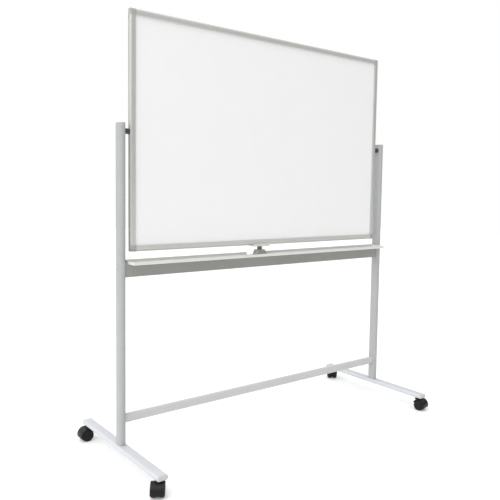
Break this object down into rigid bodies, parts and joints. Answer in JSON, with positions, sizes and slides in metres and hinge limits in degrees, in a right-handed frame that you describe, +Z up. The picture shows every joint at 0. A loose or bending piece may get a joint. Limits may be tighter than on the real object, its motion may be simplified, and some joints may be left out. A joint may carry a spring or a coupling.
{
  "type": "rolling whiteboard",
  "caption": "Double-sided whiteboard that turns end over end between two posts, with a marker tray and push-down lock, on feet with hooded twin-wheel casters.",
  "frame": {"origin": "on the floor, under the middle of the board", "axes": "+X right along the board as its writer sees it, -Y towards the writer and the marker tray, +Z up"},
  "size_m": [1.7038, 0.7872, 1.936],
  "materials": {
    "painted_steel": "smooth light grey powder coat",
    "cap_plastic": "light grey moulded plastic",
    "tray_aluminium": "satin anodised",
    "zinc_hardware": "zinc plated",
    "spring_steel": "drawn spring wire",
    "insert_plastic": "black moulded plastic",
    "writing_steel": "glossy white enamel",
    "board_core": "raw fibreboard",
    "frame_aluminium": "satin anodised",
    "corner_plastic": "mid grey moulded plastic",
    "dark_screw": "blackened",
    "lock_dark": "dark moulded plastic",
    "lock_light": "light moulded plastic",
    "caster_plastic": "black moulded nylon",
    "caster_tread": "black nylon tread"
  },
  "bodies": {
    "stand": {"left_post": "painted_steel", "right_post": "painted_steel", "left_post_cap": "cap_plastic", "right_post_cap": "cap_plastic", "left_foot": "painted_steel", "right_foot": "painted_steel", "left_foot_front_cap": "cap_plastic", "left_foot_rear_cap": "cap_plastic", "right_foot_front_cap": "cap_plastic", "right_foot_rear_cap": "cap_plastic", "upper_crossbar": "painted_steel", "lower_crossbar": "painted_steel", "marker_tray": "tray_aluminium", "tray_left_cap": "cap_plastic", "tray_right_cap": "cap_plastic", "upper_crossbar_bolts": "zinc_hardware", "lower_crossbar_screws": "zinc_hardware", "crossbar_inserts": "insert_plastic", "post_bottom_inserts": "insert_plastic", "foot_bolts": "zinc_hardware", "tray_screws": "zinc_hardware", "caster_sockets": "insert_plastic", "caster_stems": "zinc_hardware", "left_pivot_pin": "zinc_hardware", "right_pivot_pin": "zinc_hardware", "lock_base": "lock_dark"},
    "board": {"left_pivot_bush": "insert_plastic", "right_pivot_bush": "insert_plastic", "board_front_sheet": "writing_steel", "board_core": "board_core", "board_back_sheet": "writing_steel", "rail_top": "frame_aluminium", "rail_bottom": "frame_aluminium", "rail_left": "frame_aluminium", "rail_right": "frame_aluminium", "corner_top_left": "corner_plastic", "corner_top_right": "corner_plastic", "corner_bottom_left": "corner_plastic", "corner_bottom_right": "corner_plastic", "corner_screws": "dark_screw", "pivot_blocks": "zinc_hardware"},
    "lock": {"lock_head": "lock_light", "lock_stem": "lock_dark", "lock_spring": "spring_steel"},
    "caster_fl": {"caster_fl_body": "caster_plastic", "caster_fl_axle": "zinc_hardware"},
    "caster_fl_roller_a": {"caster_fl_wheel_a": "caster_tread"},
    "caster_fl_roller_b": {"caster_fl_wheel_b": "caster_tread"},
    "caster_fr": {"caster_fr_body": "caster_plastic", "caster_fr_axle": "zinc_hardware"},
    "caster_fr_roller_a": {"caster_fr_wheel_a": "caster_tread"},
    "caster_fr_roller_b": {"caster_fr_wheel_b": "caster_tread"},
    "caster_rl": {"caster_rl_body": "caster_plastic", "caster_rl_axle": "zinc_hardware"},
    "caster_rl_roller_a": {"caster_rl_wheel_a": "caster_tread"},
    "caster_rl_roller_b": {"caster_rl_wheel_b": "caster_tread"},
    "caster_rr": {"caster_rr_body": "caster_plastic", "caster_rr_axle": "zinc_hardware"},
    "caster_rr_roller_a": {"caster_rr_wheel_a": "caster_tread"},
    "caster_rr_roller_b": {"caster_rr_wheel_b": "caster_tread"}
  },
  "joints": [
    {"name": "board_rotate", "type": "hinge", "parent": "stand", "child": "board", "pos_m": [0, 0, 1.428], "axis": [1, 0, 0], "continuous": true},
    {"name": "lock_slide", "type": "slide", "parent": "stand", "child": "lock", "axis": [0, 0, 1], "range_m": [-0.01, 0], "stiffness_N_per_m": 600, "springref_m": 0.004, "deforming": ["lock_spring"]},
    {"name": "caster_fl_swivel", "type": "hinge", "parent": "stand", "child": "caster_fl", "pos_m": [-0.799, -0.334, 0.05], "axis": [0, 0, 1], "continuous": true},
    {"name": "caster_fl_roll_a", "type": "hinge", "parent": "caster_fl", "child": "caster_fl_roller_a", "pos_m": [-0.81018, -0.35058, 0.028], "axis": [0.829, -0.5592, 0], "continuous": true},
    {"name": "caster_fl_roll_b", "type": "hinge", "parent": "caster_fl", "child": "caster_fl_roller_b", "pos_m": [-0.81018, -0.35058, 0.028], "axis": [0.829, -0.5592, 0], "continuous": true},
    {"name": "caster_fr_swivel", "type": "hinge", "parent": "stand", "child": "caster_fr", "pos_m": [0.799, -0.334, 0.05], "axis": [0, 0, 1], "continuous": true},
    {"name": "caster_fr_roll_a", "type": "hinge", "parent": "caster_fr", "child": "caster_fr_roller_a", "pos_m": [0.80178, -0.3538, 0.028], "axis": [0.9903, 0.1392, 0], "continuous": true},
    {"name": "caster_fr_roll_b", "type": "hinge", "parent": "caster_fr", "child": "caster_fr_roller_b", "pos_m": [0.80178, -0.3538, 0.028], "axis": [0.9903, 0.1392, 0], "continuous": true},
    {"name": "caster_rl_swivel", "type": "hinge", "parent": "stand", "child": "caster_rl", "pos_m": [-0.799, 0.334, 0.05], "axis": [0, 0, 1], "continuous": true},
    {"name": "caster_rl_roll_a", "type": "hinge", "parent": "caster_rl", "child": "caster_rl_roller_a", "pos_m": [-0.819, 0.334, 0.028], "axis": [0, -1, 0], "continuous": true},
    {"name": "caster_rl_roll_b", "type": "hinge", "parent": "caster_rl", "child": "caster_rl_roller_b", "pos_m": [-0.819, 0.334, 0.028], "axis": [0, -1, 0], "continuous": true},
    {"name": "caster_rr_swivel", "type": "hinge", "parent": "stand", "child": "caster_rr", "pos_m": [0.799, 0.334, 0.05], "axis": [0, 0, 1], "continuous": true},
    {"name": "caster_rr_roll_a", "type": "hinge", "parent": "caster_rr", "child": "caster_rr_roller_a", "pos_m": [0.81018, 0.35058, 0.028], "axis": [-0.829, 0.5592, 0], "continuous": true},
    {"name": "caster_rr_roll_b", "type": "hinge", "parent": "caster_rr", "child": "caster_rr_roller_b", "pos_m": [0.81018, 0.35058, 0.028], "axis": [-0.829, 0.5592, 0], "continuous": true}
  ]
}
